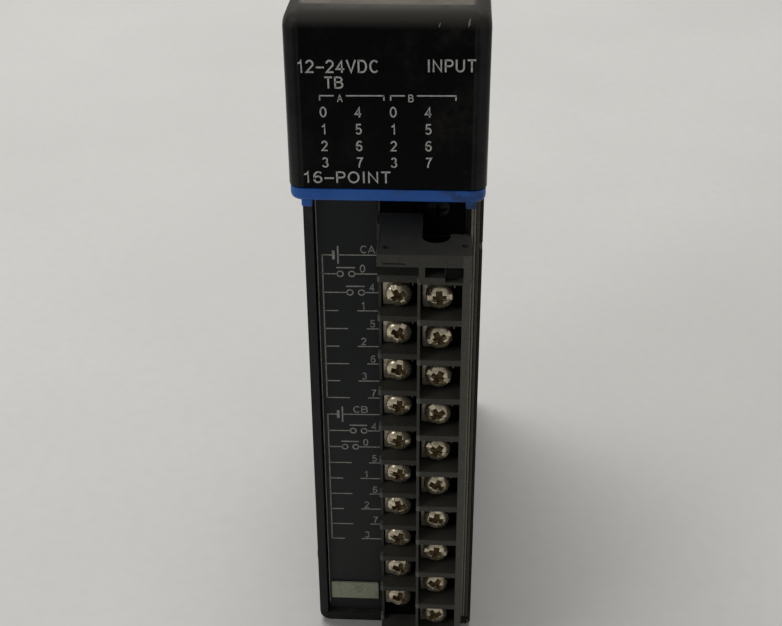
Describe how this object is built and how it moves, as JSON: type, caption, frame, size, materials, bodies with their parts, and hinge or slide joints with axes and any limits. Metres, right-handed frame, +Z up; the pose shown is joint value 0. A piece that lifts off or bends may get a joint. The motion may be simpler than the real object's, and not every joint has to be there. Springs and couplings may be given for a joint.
{
  "type": "plc input module",
  "caption": "Slim upright controller input module with a glossy indicator cover, blue band, wiring label and a two-tier plug-in screw terminal block.",
  "frame": {"origin": "centre of the bounding box, on the bottom face the module stands on", "axes": "+Z up the module, front with the terminals faces -Y, +X to the viewer's right seen from the front"},
  "size_m": [0.0344, 0.1108, 0.15],
  "materials": {
    "housing_black": "fine moulded texture, black",
    "side_cover_black": "fine moulded texture, black with a brown cast",
    "smoked_black": "glossy smoked black with fine scratches and dust",
    "blue_plastic": "satin blue with dark smudges",
    "clear_acrylic": "clear moulded light pipes",
    "board_green": "green solder mask",
    "block_grey": "matt dark olive-grey moulding",
    "header_black": "black moulding",
    "connector_grey": "grey moulding",
    "label_film": "satin blue-black printed film",
    "marker_paper": "pale grey-green paper strip with smudges",
    "chip_epoxy": "black epoxy",
    "capacitor_sleeve": "blue sleeve",
    "screw_steel": "nickel plated steel with brown rust in the recess",
    "washer_steel": "nickel plated steel, slightly tarnished",
    "case_screw_zinc": "dark zinc plated steel"
  },
  "bodies": {
    "housing": {"main_housing": "housing_black", "side_cover": "side_cover_black", "indicator_cover": "smoked_black", "color_band": "blue_plastic", "light_guide": "clear_acrylic", "indicator_board": "board_green", "logic_board": "board_green", "terminal_header": "header_black", "backplane_connector": "connector_grey", "label_panel": "label_film", "marker_strip": "marker_paper", "interface_chip": "chip_epoxy", "optocoupler_array": "chip_epoxy", "capacitor": "capacitor_sleeve", "case_screw_lower": "case_screw_zinc", "case_screw_upper": "case_screw_zinc"},
    "terminal_block": {"terminal_block": "block_grey"},
    "jack_top": {"jack_screw_top": "case_screw_zinc"},
    "jack_bottom": {"jack_screw_bottom": "case_screw_zinc"},
    "washer_01": {"washer_01": "washer_steel"},
    "screw_01": {"terminal_screw_01": "screw_steel"},
    "washer_02": {"washer_02": "washer_steel"},
    "screw_02": {"terminal_screw_02": "screw_steel"},
    "washer_03": {"washer_03": "washer_steel"},
    "screw_03": {"terminal_screw_03": "screw_steel"},
    "washer_04": {"washer_04": "washer_steel"},
    "screw_04": {"terminal_screw_04": "screw_steel"},
    "washer_05": {"washer_05": "washer_steel"},
    "screw_05": {"terminal_screw_05": "screw_steel"},
    "washer_06": {"washer_06": "washer_steel"},
    "screw_06": {"terminal_screw_06": "screw_steel"},
    "washer_07": {"washer_07": "washer_steel"},
    "screw_07": {"terminal_screw_07": "screw_steel"},
    "washer_08": {"washer_08": "washer_steel"},
    "screw_08": {"terminal_screw_08": "screw_steel"},
    "washer_09": {"washer_09": "washer_steel"},
    "screw_09": {"terminal_screw_09": "screw_steel"},
    "washer_10": {"washer_10": "washer_steel"},
    "screw_10": {"terminal_screw_10": "screw_steel"},
    "washer_11": {"washer_11": "washer_steel"},
    "screw_11": {"terminal_screw_11": "screw_steel"},
    "washer_12": {"washer_12": "washer_steel"},
    "screw_12": {"terminal_screw_12": "screw_steel"},
    "washer_13": {"washer_13": "washer_steel"},
    "screw_13": {"terminal_screw_13": "screw_steel"},
    "washer_14": {"washer_14": "washer_steel"},
    "screw_14": {"terminal_screw_14": "screw_steel"},
    "washer_15": {"washer_15": "washer_steel"},
    "screw_15": {"terminal_screw_15": "screw_steel"},
    "washer_16": {"washer_16": "washer_steel"},
    "screw_16": {"terminal_screw_16": "screw_steel"},
    "washer_17": {"washer_17": "washer_steel"},
    "screw_17": {"terminal_screw_17": "screw_steel"},
    "washer_18": {"washer_18": "washer_steel"},
    "screw_18": {"terminal_screw_18": "screw_steel"},
    "washer_19": {"washer_19": "washer_steel"},
    "screw_19": {"terminal_screw_19": "screw_steel"},
    "washer_20": {"washer_20": "washer_steel"},
    "screw_20": {"terminal_screw_20": "screw_steel"}
  },
  "joints": [
    {"name": "block_pull", "type": "slide", "parent": "housing", "child": "terminal_block", "axis": [0, -1, 0], "range_m": [0, 0.02]},
    {"name": "jack_screw_top_turn", "type": "hinge", "parent": "terminal_block", "child": "jack_top", "pos_m": [0.0086, -0.0396, 0.1074], "axis": [0, -1, 0], "range_deg": [0, 1800]},
    {"name": "jack_screw_bottom_turn", "type": "hinge", "parent": "terminal_block", "child": "jack_bottom", "pos_m": [0.0086, -0.0396, 0.0064], "axis": [0, -1, 0], "range_deg": [0, 1800]},
    {"name": "washer_01_lift", "type": "slide", "parent": "terminal_block", "child": "washer_01", "axis": [0, -1, 0], "range_m": [0, 0.0015]},
    {"name": "screw_01_turn", "type": "hinge", "parent": "washer_01", "child": "screw_01", "pos_m": [0.0012, -0.0386, 0.08835], "axis": [0, -1, 0], "range_deg": [0, 1080]},
    {"name": "washer_02_lift", "type": "slide", "parent": "terminal_block", "child": "washer_02", "axis": [0, -1, 0], "range_m": [0, 0.0015]},
    {"name": "screw_02_turn", "type": "hinge", "parent": "washer_02", "child": "screw_02", "pos_m": [0.0012, -0.0386, 0.07968], "axis": [0, -1, 0], "range_deg": [0, 1080]},
    {"name": "washer_03_lift", "type": "slide", "parent": "terminal_block", "child": "washer_03", "axis": [0, -1, 0], "range_m": [0, 0.0015]},
    {"name": "screw_03_turn", "type": "hinge", "parent": "washer_03", "child": "screw_03", "pos_m": [0.0012, -0.0386, 0.07101], "axis": [0, -1, 0], "range_deg": [0, 1080]},
    {"name": "washer_04_lift", "type": "slide", "parent": "terminal_block", "child": "washer_04", "axis": [0, -1, 0], "range_m": [0, 0.0015]},
    {"name": "screw_04_turn", "type": "hinge", "parent": "washer_04", "child": "screw_04", "pos_m": [0.0012, -0.0386, 0.06234], "axis": [0, -1, 0], "range_deg": [0, 1080]},
    {"name": "washer_05_lift", "type": "slide", "parent": "terminal_block", "child": "washer_05", "axis": [0, -1, 0], "range_m": [0, 0.0015]},
    {"name": "screw_05_turn", "type": "hinge", "parent": "washer_05", "child": "screw_05", "pos_m": [0.0012, -0.0386, 0.05367], "axis": [0, -1, 0], "range_deg": [0, 1080]},
    {"name": "washer_06_lift", "type": "slide", "parent": "terminal_block", "child": "washer_06", "axis": [0, -1, 0], "range_m": [0, 0.0015]},
    {"name": "screw_06_turn", "type": "hinge", "parent": "washer_06", "child": "screw_06", "pos_m": [0.0012, -0.0386, 0.045], "axis": [0, -1, 0], "range_deg": [0, 1080]},
    {"name": "washer_07_lift", "type": "slide", "parent": "terminal_block", "child": "washer_07", "axis": [0, -1, 0], "range_m": [0, 0.0015]},
    {"name": "screw_07_turn", "type": "hinge", "parent": "washer_07", "child": "screw_07", "pos_m": [0.0012, -0.0386, 0.03633], "axis": [0, -1, 0], "range_deg": [0, 1080]},
    {"name": "washer_08_lift", "type": "slide", "parent": "terminal_block", "child": "washer_08", "axis": [0, -1, 0], "range_m": [0, 0.0015]},
    {"name": "screw_08_turn", "type": "hinge", "parent": "washer_08", "child": "screw_08", "pos_m": [0.0012, -0.0386, 0.02766], "axis": [0, -1, 0], "range_deg": [0, 1080]},
    {"name": "washer_09_lift", "type": "slide", "parent": "terminal_block", "child": "washer_09", "axis": [0, -1, 0], "range_m": [0, 0.0015]},
    {"name": "screw_09_turn", "type": "hinge", "parent": "washer_09", "child": "screw_09", "pos_m": [0.0012, -0.0386, 0.01899], "axis": [0, -1, 0], "range_deg": [0, 1080]},
    {"name": "washer_10_lift", "type": "slide", "parent": "terminal_block", "child": "washer_10", "axis": [0, -1, 0], "range_m": [0, 0.0015]},
    {"name": "screw_10_turn", "type": "hinge", "parent": "washer_10", "child": "screw_10", "pos_m": [0.0012, -0.0386, 0.01032], "axis": [0, -1, 0], "range_deg": [0, 1080]},
    {"name": "washer_11_lift", "type": "slide", "parent": "terminal_block", "child": "washer_11", "axis": [0, -1, 0], "range_m": [0, 0.0015]},
    {"name": "screw_11_turn", "type": "hinge", "parent": "washer_11", "child": "screw_11", "pos_m": [0.0093, -0.0506, 0.09485], "axis": [0, -1, 0], "range_deg": [0, 1080]},
    {"name": "washer_12_lift", "type": "slide", "parent": "terminal_block", "child": "washer_12", "axis": [0, -1, 0], "range_m": [0, 0.0015]},
    {"name": "screw_12_turn", "type": "hinge", "parent": "washer_12", "child": "screw_12", "pos_m": [0.0093, -0.0506, 0.08618], "axis": [0, -1, 0], "range_deg": [0, 1080]},
    {"name": "washer_13_lift", "type": "slide", "parent": "terminal_block", "child": "washer_13", "axis": [0, -1, 0], "range_m": [0, 0.0015]},
    {"name": "screw_13_turn", "type": "hinge", "parent": "washer_13", "child": "screw_13", "pos_m": [0.0093, -0.0506, 0.07751], "axis": [0, -1, 0], "range_deg": [0, 1080]},
    {"name": "washer_14_lift", "type": "slide", "parent": "terminal_block", "child": "washer_14", "axis": [0, -1, 0], "range_m": [0, 0.0015]},
    {"name": "screw_14_turn", "type": "hinge", "parent": "washer_14", "child": "screw_14", "pos_m": [0.0093, -0.0506, 0.06884], "axis": [0, -1, 0], "range_deg": [0, 1080]},
    {"name": "washer_15_lift", "type": "slide", "parent": "terminal_block", "child": "washer_15", "axis": [0, -1, 0], "range_m": [0, 0.0015]},
    {"name": "screw_15_turn", "type": "hinge", "parent": "washer_15", "child": "screw_15", "pos_m": [0.0093, -0.0506, 0.06017], "axis": [0, -1, 0], "range_deg": [0, 1080]},
    {"name": "washer_16_lift", "type": "slide", "parent": "terminal_block", "child": "washer_16", "axis": [0, -1, 0], "range_m": [0, 0.0015]},
    {"name": "screw_16_turn", "type": "hinge", "parent": "washer_16", "child": "screw_16", "pos_m": [0.0093, -0.0506, 0.0515], "axis": [0, -1, 0], "range_deg": [0, 1080]},
    {"name": "washer_17_lift", "type": "slide", "parent": "terminal_block", "child": "washer_17", "axis": [0, -1, 0], "range_m": [0, 0.0015]},
    {"name": "screw_17_turn", "type": "hinge", "parent": "washer_17", "child": "screw_17", "pos_m": [0.0093, -0.0506, 0.04283], "axis": [0, -1, 0], "range_deg": [0, 1080]},
    {"name": "washer_18_lift", "type": "slide", "parent": "terminal_block", "child": "washer_18", "axis": [0, -1, 0], "range_m": [0, 0.0015]},
    {"name": "screw_18_turn", "type": "hinge", "parent": "washer_18", "child": "screw_18", "pos_m": [0.0093, -0.0506, 0.03416], "axis": [0, -1, 0], "range_deg": [0, 1080]},
    {"name": "washer_19_lift", "type": "slide", "parent": "terminal_block", "child": "washer_19", "axis": [0, -1, 0], "range_m": [0, 0.0015]},
    {"name": "screw_19_turn", "type": "hinge", "parent": "washer_19", "child": "screw_19", "pos_m": [0.0093, -0.0506, 0.02549], "axis": [0, -1, 0], "range_deg": [0, 1080]},
    {"name": "washer_20_lift", "type": "slide", "parent": "terminal_block", "child": "washer_20", "axis": [0, -1, 0], "range_m": [0, 0.0015]},
    {"name": "screw_20_turn", "type": "hinge", "parent": "washer_20", "child": "screw_20", "pos_m": [0.0093, -0.0506, 0.01682], "axis": [0, -1, 0], "range_deg": [0, 1080]}
  ],
  "couplings": [
    {"joint": "screw_01_turn", "follows": "washer_01_lift", "rad_per_m": 12566},
    {"joint": "screw_02_turn", "follows": "washer_02_lift", "rad_per_m": 12566},
    {"joint": "screw_03_turn", "follows": "washer_03_lift", "rad_per_m": 12566},
    {"joint": "screw_04_turn", "follows": "washer_04_lift", "rad_per_m": 12566},
    {"joint": "screw_05_turn", "follows": "washer_05_lift", "rad_per_m": 12566},
    {"joint": "screw_06_turn", "follows": "washer_06_lift", "rad_per_m": 12566},
    {"joint": "screw_07_turn", "follows": "washer_07_lift", "rad_per_m": 12566},
    {"joint": "screw_08_turn", "follows": "washer_08_lift", "rad_per_m": 12566},
    {"joint": "screw_09_turn", "follows": "washer_09_lift", "rad_per_m": 12566},
    {"joint": "screw_10_turn", "follows": "washer_10_lift", "rad_per_m": 12566},
    {"joint": "screw_11_turn", "follows": "washer_11_lift", "rad_per_m": 12566},
    {"joint": "screw_12_turn", "follows": "washer_12_lift", "rad_per_m": 12566},
    {"joint": "screw_13_turn", "follows": "washer_13_lift", "rad_per_m": 12566},
    {"joint": "screw_14_turn", "follows": "washer_14_lift", "rad_per_m": 12566},
    {"joint": "screw_15_turn", "follows": "washer_15_lift", "rad_per_m": 12566},
    {"joint": "screw_16_turn", "follows": "washer_16_lift", "rad_per_m": 12566},
    {"joint": "screw_17_turn", "follows": "washer_17_lift", "rad_per_m": 12566},
    {"joint": "screw_18_turn", "follows": "washer_18_lift", "rad_per_m": 12566},
    {"joint": "screw_19_turn", "follows": "washer_19_lift", "rad_per_m": 12566},
    {"joint": "screw_20_turn", "follows": "washer_20_lift", "rad_per_m": 12566}
  ]
}
